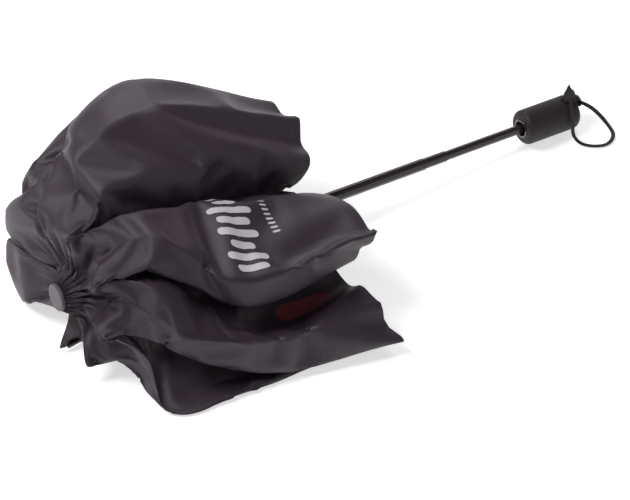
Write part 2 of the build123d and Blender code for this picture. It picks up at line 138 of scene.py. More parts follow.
class NodeSheet:
    """Short-hand for adding and linking shader nodes in one tree."""

    def __init__(self, tree: bpy.types.NodeTree) -> None:
        """Keeps the tree that nodes are added to."""
        self.tree = tree

    def add(self, kind: str, inputs: dict | None = None, **settings: object) -> bpy.types.Node:
        """Adds a node.

        Args:
            kind: Blender's node type.
            inputs: Socket name or number to a value, or to an output socket to link.
            **settings: Attributes of the node.

        Returns:
            The node.
        """
        node = self.tree.nodes.new(kind)
        for name, value in settings.items():
            setattr(node, name, value)
        return self.feed(node, inputs or {})

    def feed(self, node: bpy.types.Node, inputs: dict) -> bpy.types.Node:
        """Links or sets a node's sockets.

        Args:
            node: The node.
            inputs: Socket name or number to a value, or to an output socket to link.

        Returns:
            The same node.
        """
        for name, value in inputs.items():
            if isinstance(value, bpy.types.NodeSocket):
                self.tree.links.new(value, node.inputs[name])
            else:
                node.inputs[name].default_value = value
        return node

    def math(self, operation: str, *values: object) -> bpy.types.NodeSocket:
        """Adds a Math node and returns its output."""
        node = self.add("ShaderNodeMath", dict(enumerate(values)), operation=operation)
        return node.outputs[0]

    def mix(self, factor: object, a: object, b: object) -> bpy.types.NodeSocket:
        """Mixes two colours and returns the result."""
        return self.add("ShaderNodeMix", {0: factor, 6: a, 7: b}, data_type="RGBA").outputs[2]

    def spread(self, value: object, low: float, high: float) -> bpy.types.NodeSocket:
        """Maps 0..1 to low..high and returns the result."""
        inputs = {"Value": value, "To Min": low, "To Max": high}
        return self.add("ShaderNodeMapRange", inputs).outputs[0]

    def bump(self, height: bpy.types.NodeSocket, distance: float) -> bpy.types.NodeSocket:
        """Turns a height of 0..1 into a normal, over a distance in metres."""
        inputs = {"Height": height, "Distance": distance, "Strength": 1.0}
        return self.add("ShaderNodeBump", inputs).outputs[0]

    def group(self, tree: bpy.types.NodeTree, inputs: dict | None = None) -> bpy.types.Node:
        """Places a node group with its own values."""
        return self.feed(self.add("ShaderNodeGroup", node_tree=tree), inputs or {})


def new_group(name: str, inputs: dict[str, float], outputs: list[str]) -> tuple:
    """Makes an empty node group.

    Args:
        name: The group's name.
        inputs: Number inputs and their defaults. A default of None makes a vector input.
        outputs: Number outputs.

    Returns:
        The tree, its sheet, its input node and its output node.
    """
    tree = bpy.data.node_groups.new(name, "ShaderNodeTree")
    for title, value in inputs.items():
        kind = "NodeSocketVector" if value is None else "NodeSocketFloat"
        socket = tree.interface.new_socket(title, in_out="INPUT", socket_type=kind)
        if value is not None:
            socket.default_value = value
    for title in outputs:
        tree.interface.new_socket(title, in_out="OUTPUT", socket_type="NodeSocketFloat")
    sheet = NodeSheet(tree)
    return tree, sheet, sheet.add("NodeGroupInput"), sheet.add("NodeGroupOutput")


class Effects:
    """Node groups that several finishes share. Each is built once."""

    def __init__(self) -> None:
        """Builds every group."""
        self.weave = self._weave()
        self.cloud = self._cloud()
        self.grain = self._grain()
        self.wear = self._wear()
        self.bar = self._bar()
        self.sewn = self._sewn()

    @staticmethod
    def _weave() -> bpy.types.NodeTree:
        """Plain weave: threads over and under each other at a pitch, from cloth coordinates.

        Returns:
            The node group.
        """
        inputs = {"Cloth": None, "Pitch": 0.001}
        tree, n, source, out = new_group("plain_weave", inputs, ["Height", "Gap"])
        split = n.add("ShaderNodeSeparateXYZ", {0: source.outputs["Cloth"]})
        waves = []
        for axis in (0, 1):
            turns = n.math("DIVIDE", split.outputs[axis], source.outputs["Pitch"])
            waves.append(n.math("SINE", n.math("MULTIPLY", turns, math.tau)))
        product = n.math("MULTIPLY", waves[0], waves[1])
        height = n.spread(n.math("ADD", n.math("MULTIPLY", product, 0.5), 0.5), 0.0, 1.0)
        n.tree.links.new(height, out.inputs["Height"])
        n.tree.links.new(n.math("SUBTRACT", 1.0, n.math("ABSOLUTE", product)), out.inputs["Gap"])
        return tree

    @staticmethod
    def _cloud() -> bpy.types.NodeTree:
        """Slow change over a surface, about the middle of 0..1.

        Returns:
            The node group.
        """
        tree, n, source, out = new_group("slow_cloud", {"Scale": 20.0, "Detail": 3.0}, ["Amount"])
        where = n.add("ShaderNodeTexCoord").outputs["Object"]
        noise = n.add(
            "ShaderNodeTexNoise",
            {"Vector": where, "Scale": source.outputs["Scale"], "Detail": source.outputs["Detail"]},
        )
        n.tree.links.new(noise.outputs[0], out.inputs["Amount"])
        return tree

    @staticmethod
    def _grain() -> bpy.types.NodeTree:
        """Fine moulded or sprayed grain.

        Returns:
            The node group.
        """
        tree, n, source, out = new_group("fine_grain", {"Size": 0.0005}, ["Height"])
        where = n.add("ShaderNodeTexCoord").outputs["Object"]
        scale = n.math("DIVIDE", 1.0, source.outputs["Size"])
        noise = n.add("ShaderNodeTexNoise", {"Vector": where, "Scale": scale, "Detail": 2.0})
        cells = n.add("ShaderNodeTexVoronoi", {"Vector": where, "Scale": scale})
        n.tree.links.new(n.math("ADD", noise.outputs[0], cells.outputs[0]), out.inputs["Height"])
        return tree

    @staticmethod
    def _wear() -> bpy.types.NodeTree:
        """Rubbed edges: 1 on a sharp convex edge, broken up by noise.

        Returns:
            The node group.
        """
        tree, n, source, out = new_group("edge_wear", {"Reach": 0.001, "Break up": 300.0}, ["Mask"])
        round_edge = n.add("ShaderNodeBevel", {"Radius": source.outputs["Reach"]}, samples=4)
        normal = n.add("ShaderNodeNewGeometry").outputs["Normal"]
        pair = {0: round_edge.outputs[0], 1: normal}
        dot = n.add("ShaderNodeVectorMath", pair, operation="DOT_PRODUCT")
        edge = n.math("SUBTRACT", 1.0, dot.outputs["Value"])
        where = n.add("ShaderNodeTexCoord").outputs["Object"]
        noise = n.add("ShaderNodeTexNoise", {"Vector": where, "Scale": source.outputs["Break up"]})
        mask = n.math("MULTIPLY", n.math("MULTIPLY", edge, 6.0), noise.outputs[0])
        n.tree.links.new(n.math("MINIMUM", mask, 1.0), out.inputs["Mask"])
        return tree

    @staticmethod
    def _bar() -> bpy.types.NodeTree:
        """Printed bar with round ends, or a dot, in cloth coordinates.

        Returns:
            The node group.
        """
        inputs = {
            "Cloth": None, "Across": 0.0, "Along": 0.0,
            "Half width": 0.0, "Half length": 0.01, "Radius": 0.004,
        }
        tree, n, source, out = new_group("printed_bar", inputs, ["Mask"])
        split = n.add("ShaderNodeSeparateXYZ", {0: source.outputs["Cloth"]})
        squares = []
        for axis, middle, half in ((0, "Across", "Half width"), (1, "Along", "Half length")):
            from_middle = n.math("SUBTRACT", split.outputs[axis], source.outputs[middle])
            off = n.math("ABSOLUTE", from_middle)
            past = n.math("MAXIMUM", n.math("SUBTRACT", off, source.outputs[half]), 0.0)
            squares.append(n.math("MULTIPLY", past, past))
        reach = n.math("SQRT", n.math("ADD", *squares))
        inside = n.math("LESS_THAN", reach, source.outputs["Radius"])
        n.tree.links.new(inside, out.inputs["Mask"])
        return tree

    @staticmethod
    def _sewn() -> bpy.types.NodeTree:
        """Sewn hem and seams: a raised band with a row of stitches, from cloth coordinates.

        Returns:
            The node group.
        """
        inputs = {
            "Cloth": None, "Hem": 0.33, "Seam slope": 0.4545, "Seam start": 0.05, "Band": 0.007,
            "Stitch line": 0.006, "Half thread": 0.0004, "Stitches a metre": 350.0,
        }
        tree, n, source, out = new_group("sewn_edges", inputs, ["Height", "Thread"])
        split = n.add("ShaderNodeSeparateXYZ", {0: source.outputs["Cloth"]})
        across, down = split.outputs[0], split.outputs[1]
        from_panel = n.math("SUBTRACT", n.math("FRACT", n.math("ADD", across, 0.5)), 0.5)
        slope, start = source.outputs["Seam slope"], source.outputs["Seam start"]
        half = n.math("MULTIPLY_ADD", down, slope, start)
        to_hem = n.math("SUBTRACT", source.outputs["Hem"], down)
        to_seam = n.math("SUBTRACT", half, n.math("ABSOLUTE", from_panel))
        near = n.math("MINIMUM", to_hem, to_seam)
        band = n.math("LESS_THAN", near, source.outputs["Band"])
        off_line = n.math("ABSOLUTE", n.math("SUBTRACT", near, source.outputs["Stitch line"]))
        line = n.math("LESS_THAN", off_line, source.outputs["Half thread"])
        where = n.math("ADD", across, down)
        run = n.math("FRACT", n.math("MULTIPLY", where, source.outputs["Stitches a metre"]))
        dash = n.math("GREATER_THAN", run, 0.3)
        thread = n.math("MULTIPLY", line, dash)
        height = n.math("SUBTRACT", band, n.math("MULTIPLY", thread, 0.6))
        n.tree.links.new(height, out.inputs["Height"])
        n.tree.links.new(thread, out.inputs["Thread"])
        return tree


@dataclass(frozen=True)
class Finish:
    """A finish whose colour and roughness drift slowly and whose surface has a fine grain."""

    name: str
    color: tuple[float, float, float]
    drift: float = 0.15
    cloud_scale: float = 60.0
    rough: tuple[float, float] = (0.4, 0.5)
    metallic: float = 0.0
    grain: float = 0.0004
    bump: float = 0.00002
    wear: float = 0.0
    worn: tuple[float, float, float] = (0.3, 0.3, 0.3)
    reach: float = 0.0006
    coat: float = 0.0
    coat_rough: float = 0.08
    sheen: float = 0.0

    def material(self, effects: Effects) -> bpy.types.Material:
        """Builds the material.

        Args:
            effects: The shared node groups.

        Returns:
            The new material.
        """
        made = bpy.data.materials.new(self.name)
        made.use_nodes = True
        sheet = NodeSheet(made.node_tree)
        shader = made.node_tree.nodes["Principled BSDF"]
        cloud = sheet.group(effects.cloud, {"Scale": self.cloud_scale}).outputs["Amount"]
        dark = (*[c * (1 - self.drift) for c in self.color], 1)
        light = (*[c * (1 + self.drift) for c in self.color], 1)
        color = sheet.mix(cloud, dark, light)
        rough = sheet.spread(cloud, *self.rough)
        if self.wear:
            mask = sheet.group(effects.wear, {"Reach": self.reach}).outputs["Mask"]
            color = sheet.mix(sheet.math("MULTIPLY", mask, self.wear), color, (*self.worn, 1))
        height = sheet.group(effects.grain, {"Size": self.grain}).outputs["Height"]
        bump = sheet.bump(height, self.bump)
        shader.inputs["Metallic"].default_value = self.metallic
        shader.inputs["Coat Weight"].default_value = self.coat
        shader.inputs["Coat Roughness"].default_value = self.coat_rough
        shader.inputs["Sheen Weight"].default_value = self.sheen
        sheet.feed(shader, {"Base Color": color, "Roughness": rough, "Normal": bump})
        return made


@dataclass(frozen=True)
class WovenFinish:
    """Woven cloth, with an optional print, from the cloth's own coordinates in metres."""

    name: str
    color: tuple[float, float, float]
    pitch: float
    bump: float
    rough: tuple[float, float]
    sheen: float
    sheen_rough: float
    drift: float
    sheen_tint: tuple[float, float, float] = (0.80, 0.62, 0.84)
    prints: tuple["Print", ...] = ()
    stitch: bool = False

    def material(self, effects: Effects) -> bpy.types.Material:
        """Builds the material.

        Args:
            effects: The shared node groups.

        Returns:
            The new material.
        """
        made = bpy.data.materials.new(self.name)
        made.use_nodes = True
        sheet = NodeSheet(made.node_tree)
        shader = made.node_tree.nodes["Principled BSDF"]
        cloth = sheet.add("ShaderNodeUVMap", uv_map=CLOTH_MAP).outputs[0]
        cloud = sheet.group(effects.cloud, {"Scale": 14.0, "Detail": 4.0}).outputs["Amount"]
        weave = sheet.group(effects.weave, {"Cloth": cloth, "Pitch": self.pitch})
        dark = (*[c * (1 - self.drift) for c in self.color], 1)
        light = (*[c * (1 + self.drift) for c in self.color], 1)
        color = sheet.mix(cloud, dark, light)
        gap = sheet.math("MULTIPLY", weave.outputs["Gap"], 0.25)
        color = sheet.mix(gap, color, (*[c * 0.6 for c in self.color], 1))
        rough = sheet.spread(cloud, *self.rough)
        for motif in self.prints:
            mask = motif.mask(sheet, effects, cloth)
            color = sheet.mix(mask, color, (*motif.color, 1))
        height = weave.outputs["Height"]
        if self.stitch:
            sewn = sheet.group(effects.sewn)
            sheet.tree.links.new(cloth, sewn.inputs["Cloth"])
            height = sheet.math("MULTIPLY_ADD", sewn.outputs["Height"], 3.0, height)
            thread = sheet.math("MULTIPLY", sewn.outputs["Thread"], 0.5)
            color = sheet.mix(thread, color, (*[c * 0.4 for c in self.color], 1))
        bump = sheet.bump(height, self.bump)
        shader.inputs["Sheen Weight"].default_value = self.sheen
        shader.inputs["Sheen Roughness"].default_value = self.sheen_rough
        shader.inputs["Sheen Tint"].default_value = (*self.sheen_tint, 1)
        shader.inputs["Specular IOR Level"].default_value = 0.5
        sheet.feed(shader, {"Base Color": color, "Roughness": rough, "Normal": bump})
        return made


@dataclass(frozen=True)
class Print:
    """Plain printed bars and dots: across, along, half width, half length and radius, in metres."""

    color: tuple[float, float, float]
    bars: tuple[tuple[float, float, float, float, float], ...]

    def mask(
        self, sheet: NodeSheet, effects: Effects, cloth: bpy.types.NodeSocket
    ) -> bpy.types.NodeSocket:
        """Adds up the bars.

        Args:
            sheet: The material's nodes.
            effects: The shared node groups.
            cloth: The cloth's coordinates.

        Returns:
            1 inside a bar and 0 elsewhere.
        """
        total: object = 0.0
        names = ("Across", "Along", "Half width", "Half length", "Radius")
        for bar in self.bars:
            values = {"Cloth": cloth, **dict(zip(names, bar))}
            total = sheet.math("MAXIMUM", total, sheet.group(effects.bar, values).outputs["Mask"])
        return total


# ---- Mesh helpers ----


def mesh_piece(name: str, points: np.ndarray, faces: list[tuple[int, ...]]) -> bpy.types.Object:
    """Makes a smooth-shaded mesh object.

    Args:
        name: The piece's name.
        points: Its points in the row frame, in metres.
        faces: Its faces.

    Returns:
        The new object, linked to the scene.
    """
    mesh = bpy.data.meshes.new(name)
    mesh.from_pydata([tuple(p) for p in points], [], faces)
    mesh.validate()
    mesh.polygons.foreach_set("use_smooth", [True] * len(mesh.polygons))
    made = bpy.data.objects.new(name, mesh)
    bpy.context.scene.collection.objects.link(made)
    return made


def ring_faces(
    rows: int, columns: int, closed: bool = False, turned: bool = False
) -> list[tuple[int, ...]]:
    """Faces between rows of points that each go all the way round.

    Args:
        rows: Number of rows.
        columns: Points in each row.
        closed: Whether the last row joins the first.
        turned: Whether the faces look the other way.

    Returns:
        Four-sided faces.
    """
    faces = []
    for i in range(rows if closed else rows - 1):
        here, there = i * columns, (i + 1) % rows * columns
        for j in range(columns):
            k = (j + 1) % columns
            side = (there + j, there + k, here + k)
            faces.append((here + j, *(reversed(side) if turned else side)))
    return faces


def curve_through(points: np.ndarray, places: np.ndarray, wanted: np.ndarray) -> np.ndarray:
    """Smooth curve through points, sampled where wanted.

    Args:
        points: The points, one a row.
        places: The parameter of each point, rising.
        wanted: The parameters to sample.

    Returns:
        The sampled points.
    """
    slopes = np.gradient(points, places, axis=0)
    found = np.clip(np.searchsorted(places, wanted, side="right") - 1, 0, len(places) - 2)
    span = (places[found + 1] - places[found])[:, None]
    u = ((wanted - places[found]) / span[:, 0])[:, None]
    a, b = points[found], points[found + 1]
    da, db = slopes[found] * span, slopes[found + 1] * span
    return (
        (2 * u**3 - 3 * u**2 + 1) * a
        + (u**3 - 2 * u**2 + u) * da
        + (3 * u**2 - 2 * u**3) * b
        + (u**3 - u**2) * db
    )


def creased(row: np.ndarray, places: np.ndarray, wanted: np.ndarray) -> np.ndarray:
    """Curve through a row of five points with a crease at the middle one.

    Args:
        row: The row's points.
        places: The parameter of each point.
        wanted: The parameters to sample, as many before the crease as after it.

    Returns:
        The sampled points.
    """
    half = len(wanted) // 2
    one = curve_through(row[:3], places[:3], wanted[: half + 1])
    two = curve_through(row[2:], places[2:], wanted[half:])
    return np.concatenate([one, two[1:]])


def chords(points: np.ndarray, power: float = 0.7) -> np.ndarray:
    """Parameter of each point from the distance between neighbours, from 0 to 1."""
    steps = np.linalg.norm(np.diff(points, axis=0), axis=1) ** power
    total = np.concatenate([[0.0], np.cumsum(steps)])
    return total / total[-1]


def sweep_section(
    name: str, line: np.ndarray, ups: np.ndarray, section: np.ndarray, scales: np.ndarray
) -> bpy.types.Object:
    """Sweeps a closed section along a line.

    Args:
        name: The piece's name.
        line: The line's points, in metres.
        ups: The direction at each point that the section's second axis takes.
        section: The section's points, in metres, as (across, up).
        scales: Size of the section at each point, as (across, up).

    Returns:
        The new piece, closed at both ends.
    """
    tangents = np.gradient(line, axis=0)
    tangents /= np.linalg.norm(tangents, axis=1)[:, None]
    sides = np.cross(tangents, ups)
    sides /= np.linalg.norm(sides, axis=1)[:, None]
    normals = np.cross(sides, tangents)
    count, round_it = len(line), len(section)
    points = [
        line[i] + sides[i] * a * scales[i][0] + normals[i] * b * scales[i][1]
        for i in range(count)
        for a, b in section
    ]
    faces = ring_faces(count, round_it, turned=True)
    faces.append(tuple(reversed(range(round_it))))
    faces.append(tuple((count - 1) * round_it + j for j in range(round_it)))
    return mesh_piece(name, np.array(points), faces)


def joined(name: str, parts: list[bpy.types.Object]) -> bpy.types.Object:
    """Joins parts into one piece.

    Args:
        name: The piece's name.
        parts: The parts, which are used up.

    Returns:
        The piece.
    """
    points, faces = [], []
    for part in parts:
        start = len(points)
        points += [tuple(v.co) for v in part.data.vertices]
        faces += [tuple(start + v for v in face.vertices) for face in part.data.polygons]
        bpy.data.objects.remove(part)
    made = mesh_piece(name, np.array(points), faces)
    flat_map(made)
    return made


def flat_map(piece: bpy.types.Object) -> None:
    """Gives a small piece cloth coordinates, in metres, from its shape."""
    layer = piece.data.uv_layers.new(name=CLOTH_MAP)
    for loop in piece.data.loops:
        x, y, z = piece.data.vertices[loop.vertex_index].co
        layer.data[loop.index].uv = (x + 0.5 * y, z + 0.5 * y)


def ribbon_map(piece: bpy.types.Object, line: np.ndarray, round_it: int, width: float) -> None:
    """Gives a swept ribbon cloth coordinates, in metres.

    Args:
        piece: The ribbon.
        line: Its middle line.
        round_it: Points round its section.
        width: Its width.
    """
    layer = piece.data.uv_layers.new(name=CLOTH_MAP)
    far = np.concatenate([[0.0], np.cumsum(np.linalg.norm(np.diff(line, axis=0), axis=1))])
    for loop in piece.data.loops:
        i, j = divmod(loop.vertex_index, round_it)
        layer.data[loop.index].uv = (0.5 * width * math.cos(math.tau * j / round_it), far[i])


# ---- Studio ----


@dataclass(frozen=True)
class Lamp:
    """Soft square lamp: its name, place and side in metres, and power in watts."""

    name: str
    place: tuple[float, float, float]
    size: float
    watts: float

    def build(self) -> None:
        """Hangs the lamp, facing the object."""
        data = bpy.data.lights.new(self.name, "AREA")
        data.size, data.energy = self.size, self.watts
        made = bpy.data.objects.new(self.name, data)
        made.location = self.place
        made.rotation_euler = (-Vector(self.place)).to_track_quat("-Z", "Y").to_euler()
        bpy.context.scene.collection.objects.link(made)


@dataclass(frozen=True)
class Studio:
    """Camera, soft lights, pale floor and world."""

    forward: tuple[float, float, float] = (0.380, 0.594, -0.710)
    distance: float = 2.8
    lens: float = 185.0
    sensor: float = 36.0
    aim: tuple[float, float, float] = (-0.0301, -0.0136, 0.0225)
    floor_half: float = 6.0
    paper: float = 0.86
    paper_rough: float = 0.9
    seen_glow: float = 0.62
    sky: float = 0.115
    lamps: tuple[Lamp, ...] = (
        Lamp("key", (-0.9, 0.3, 1.6), 0.7, 22.0),
        Lamp("fill", (1.3, -1.5, 1.1), 0.9, 3.5),
        Lamp("back", (0.6, 1.5, 1.2), 0.9, 10.0),
    )

    def camera(self) -> None:
        """Makes the camera."""
        data = bpy.data.cameras.new("camera")
        data.lens, data.sensor_width = self.lens, self.sensor
        made = bpy.data.objects.new("camera", data)
        look = Vector(self.forward).normalized()
        made.location = Vector(self.aim) - look * self.distance
        made.rotation_euler = look.to_track_quat("-Z", "Y").to_euler()
        bpy.context.scene.collection.objects.link(made)
        bpy.context.scene.camera = made

    def floor(self) -> None:
        """Lays the floor: matt paper that shadows fall on, with a glow that only views get."""
        far = self.floor_half
        corners = np.array([(-far, -far, 0), (far, -far, 0), (far, far, 0), (-far, far, 0)], float)
        floor = mesh_piece("floor", corners, [(0, 1, 2, 3)])
        material = bpy.data.materials.new("studio_paper")
        material.use_nodes = True
        sheet = NodeSheet(material.node_tree)
        shader = material.node_tree.nodes["Principled BSDF"]
        sheet.feed(shader, {"Base Color": (*(self.paper,) * 3, 1), "Roughness": self.paper_rough})
        path = sheet.add("ShaderNodeLightPath")
        seen = sheet.math("MAXIMUM", path.outputs["Is Camera Ray"], path.outputs["Is Glossy Ray"])
        none = sheet.add("ShaderNodeEmission", {"Color": (0, 0, 0, 1), "Strength": 0.0})
        glow = sheet.add("ShaderNodeEmission", {"Color": (1, 1, 1, 1), "Strength": self.seen_glow})
        pick = sheet.add("ShaderNodeMixShader", {0: seen, 1: none.outputs[0], 2: glow.outputs[0]})
        total = sheet.add("ShaderNodeAddShader", {0: shader.outputs[0], 1: pick.outputs[0]})
        sheet.feed(material.node_tree.nodes["Material Output"], {"Surface": total.outputs[0]})
        floor.data.materials.append(material)

    def build(self) -> None:
        """Makes the floor, the lamps and the world."""
        self.floor()
        for lamp in self.lamps:
            lamp.build()
        world = bpy.data.worlds.new("studio")
        world.use_nodes = True
        sky = world.node_tree.nodes["Background"].inputs
        sky["Color"].default_value = (1, 1, 1, 1)
        sky["Strength"].default_value = self.sky
        bpy.context.scene.world = world
        bpy.context.scene.view_settings.view_transform = "Standard"


# ---- Wrist strap ----


@dataclass(frozen=True)
class Flare:
    """Fluted, flared end of gathered ribbon, in mm past the handle's front."""

    foot: tuple[float, float, float] = (46.5, 0.5, 15.2)
    lean: tuple[float, float, float] = (0.76, -0.12, 0.64)
    side: tuple[float, float, float] = (0.0, 1.0, 0.14)
    height: float = 11.5
    foot_radius: float = 2.6
    spread: float = 6.0
    flatness: float = 0.8
    thick: float = 0.7
    around: int = 72
    up: int = 12

    def ring(self, share: float, inset: float) -> np.ndarray:
        """One ring of the flare.

        Args:
            share: Place from the foot, 0, to the rim, 1.
            inset: Distance in from the outer face.

        Returns:
            The ring's points.
        """
        angles = np.linspace(0, math.tau, self.around, endpoint=False)
        lean, side = np.array(self.lean), np.array(self.side)
        back = np.cross(lean, side)
        flutes = 0.17 * np.cos(5 * angles + 0.6) + 0.08 * np.cos(9 * angles + 2.0)
        rim = 0.7 * np.cos(3 * angles + 0.4) + 0.4 * np.cos(7 * angles)
        radius = (self.foot_radius + self.spread * share**0.7) * (1 + share * flutes) - inset
        middle = np.array(self.foot) + (share * (self.height + rim))[:, None] * lean
        across = (radius * np.cos(angles))[:, None] * side
        return middle + across + (self.flatness * radius * np.sin(angles))[:, None] * back

    def build(self, handle_t: float) -> bpy.types.Object:
        """Makes the flare as a thin closed shell.

        Args:
            handle_t: The handle's front along the shaft, in mm.

        Returns:
            The flare.
        """
        shares = np.linspace(0, 1, self.up)
        rings = [self.ring(share, 0.0) for share in shares]
        rings += [self.ring(share, self.thick) for share in shares[::-1]]
        points = SHAFT.many(np.concatenate(rings) + np.array([handle_t, 0, 0]))
        faces = ring_faces(len(rings), self.around, closed=True, turned=True)
        return mesh_piece("flare", points, faces)


@dataclass(frozen=True)
class WristStrap:
    """Ribbon loop, its knot and its gathered end, in mm of the shaft frame.

    The route, the tie and the knot are measured from the handle's front.
    """

    handle_t: float = 479.0
    width: float = 3.6
    thick: float = 0.9
    flare: Flare = Flare()
    tie: tuple[tuple[float, float, float], ...] = (
        (43.9, -1.6, 17.2),
        (47.0, -3.2, 17.0),
        (50.4, -1.6, 17.0),
        (50.4, 3.0, 17.0),
        (47.0, 4.6, 17.0),
        (43.9, 2.8, 17.2),
        (43.8, 0, 17.3),
    )
    tie_width: float = 2.4
    knot_centre: tuple[float, float, float] = (60.6, -3.4, 10.2)
    knot_radius: float = 1.9
    turn_width: float = 4.0
    strip_thick: float = 0.8
    leaves_grip: float = 18.0
    lies_flat: float = 26.0
    route: tuple[tuple[float, float, float], ...] = (
        (63.2, -4.0, 9.5),
        (69.0, -8.0, 7.0),
        (77.0, -15.0, -1.0),
        (83.0, -25.0, -10.5),
        (80.0, -37.0, -11.0),
        (68.0, -44.0, -12.2),
        (56.0, -39.0, -13.4),
        (47.0, -29.5, -14.0),
        (43.5, -21.5, -8.0),
        (43.5, -19.4, 3.0),
        (44.5, -13.5, 14.5),
        (49.0, -5.0, 19.6),
    )

    def line(self) -> np.ndarray:
        """Reads the route's own smooth line, in metres.

        Returns:
            The line's points.
        """
        data = bpy.data.curves.new("strap_route", "CURVE")
        data.dimensions = "3D"
        data.resolution_u = 12
        spline = data.splines.new("NURBS")
        spline.points.add(len(self.route) - 1)
        for point, (t, y, z) in zip(spline.points, self.route):
            point.co = (*SHAFT.place(self.handle_t + t, y, z), 1)
        spline.order_u = 3
        spline.use_endpoint_u = True
        carrier = bpy.data.objects.new("strap_route", data)
        mesh = bpy.data.meshes.new_from_object(carrier)
        points = np.array([v.co for v in mesh.vertices], float)
        bpy.data.objects.remove(carrier)
        return points

    def ups(self, line: np.ndarray) -> np.ndarray:
        """Flat side's direction: away from the handle where it crosses it, up where it lies.

        Args:
            line: The ribbon's middle line, in metres.

        Returns:
            A direction for each point of the line.
        """
        base = np.array(SHAFT.origin)
        along = np.array(SHAFT.along)
        out = line - base - np.outer((line - base) @ along, along)
        far = np.linalg.norm(out, axis=1)
        out /= far[:, None]
        near, off = self.leaves_grip * MM, self.lies_flat * MM
        share = np.clip((off - far) / (off - near), 0, 1)[:, None]
        up = out * share + np.array([0, 0, 1.0]) * (1 - share)
        return up / np.linalg.norm(up, axis=1)[:, None]

    def ribbon(self, line: np.ndarray) -> bpy.types.Object:
        """Sweeps the ribbon's flat section along its line.

        Args:
            line: The ribbon's middle line, in metres.

        Returns:
            The ribbon.
        """
        angles = np.linspace(0, math.tau, 16, endpoint=False)
        across, up = np.cos(angles), np.sin(angles)
        half, thick = self.width / 2 * MM, self.thick / 2 * MM
        flat = half * np.sign(across) * np.abs(across) ** 0.35
        section = np.stack([flat, thick * np.sign(up) * np.abs(up) ** 0.6], axis=1)
        scales = np.ones((len(line), 2))
        made = sweep_section("wrist_strap_ribbon", line, self.ups(line), section, scales)
        ribbon_map(made, line, len(section), self.width * MM)
        return made

    def build(self, finish: bpy.types.Material) -> list[bpy.types.Object]:
        """Makes and dresses the ribbon, its knot and its gathered end.

        Args:
            finish: The ribbon's material.

        Returns:
            The strap's pieces.
        """
        line = self.line()
        ribbon = self.ribbon(line)
        bunch, knot = self.bunch(), self.knot()
        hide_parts("wrist_strap")
        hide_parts("strap_bunch")
        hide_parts("strap_knot")
        for piece in (ribbon, bunch, knot):
            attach(piece, Body.HANDLE.value)
            piece.data.materials.append(finish)
        return [ribbon, bunch, knot]

    def strip(
        self,
        name: str,
        points: tuple[tuple[float, float, float], ...],
        up: tuple[float, float, float],
        width: float,
    ) -> bpy.types.Object:
        """Makes one short turn of ribbon.

        Args:
            name: The strip's name.
            points: Its middle line.
            up: The direction that its flat side faces, in the shaft frame.
            width: Its width.

        Returns:
            The strip.
        """
        knots = np.array(points, float)
        places = chords(knots)
        fine = np.linspace(0, 1, 14)
        line = SHAFT.many(curve_through(knots, places, fine) + np.array([self.handle_t, 0, 0]))
        ups = np.tile(np.array(SHAFT.axes @ Vector(up)), (len(line), 1))
        angles = np.linspace(0, math.tau, 12, endpoint=False)
        section = np.stack([np.cos(angles) * 0.5, np.sin(angles) * 0.5], axis=1)
        scales = np.tile(np.array([width, self.strip_thick]) * MM, (len(line), 1))
        return sweep_section(name, line, ups, section, scales)

    def bunch(self) -> bpy.types.Object:
        """Makes the gathered end that leans back over the grip's end, tied at its foot."""
        flare = self.flare.build(self.handle_t)
        tie = self.strip("tie", self.tie, (0, 0, 1), self.tie_width)
        return joined("strap_bunch_leaves", [flare, tie])

    def knot(self) -> bpy.types.Object:
        """Makes the knot outside the strap's hole: three crossing turns of ribbon.

        Returns:
            The knot.
        """
        planes = (((1, 0, 0), (0, 1, 0)), ((0, 1, 0), (0, 0, 1)), ((0.7, 0, 0.7), (0, 1, 0)))
        centre, reach = np.array(self.knot_centre), self.knot_radius
        turns = []
        for number, (a, b) in enumerate(planes):
            one, two = np.array(a, float), np.array(b, float)
            ring = tuple(
                tuple(centre + reach * (math.cos(q) * one + math.sin(q) * two))
                for q in np.linspace(0, math.tau * 0.97, 9)
            )
            turns.append(self.strip(f"turn_{number}", ring, tuple(np.cross(a, b)), self.turn_width))
        return joined("strap_knot_turns", turns)


# ---- Canopy ----


@dataclass(frozen=True)
class Ribs:
    """Places on the closed ribs that the cloth follows, in mm of the shaft frame."""

    knee: tuple[float, float] = (13.99, 60.36)
    tip: tuple[float, float] = (218.33, 27.27)
    lift: float = 2.6

    def seam_radius(self, t: float) -> float:
        """Radius of a seam where it lies over a closed outer rib."""
        slope = (self.tip[1] - self.knee[1]) / (self.tip[0] - self.knee[0])
        return self.knee[1] + (t - self.knee[0]) * slope + self.lift


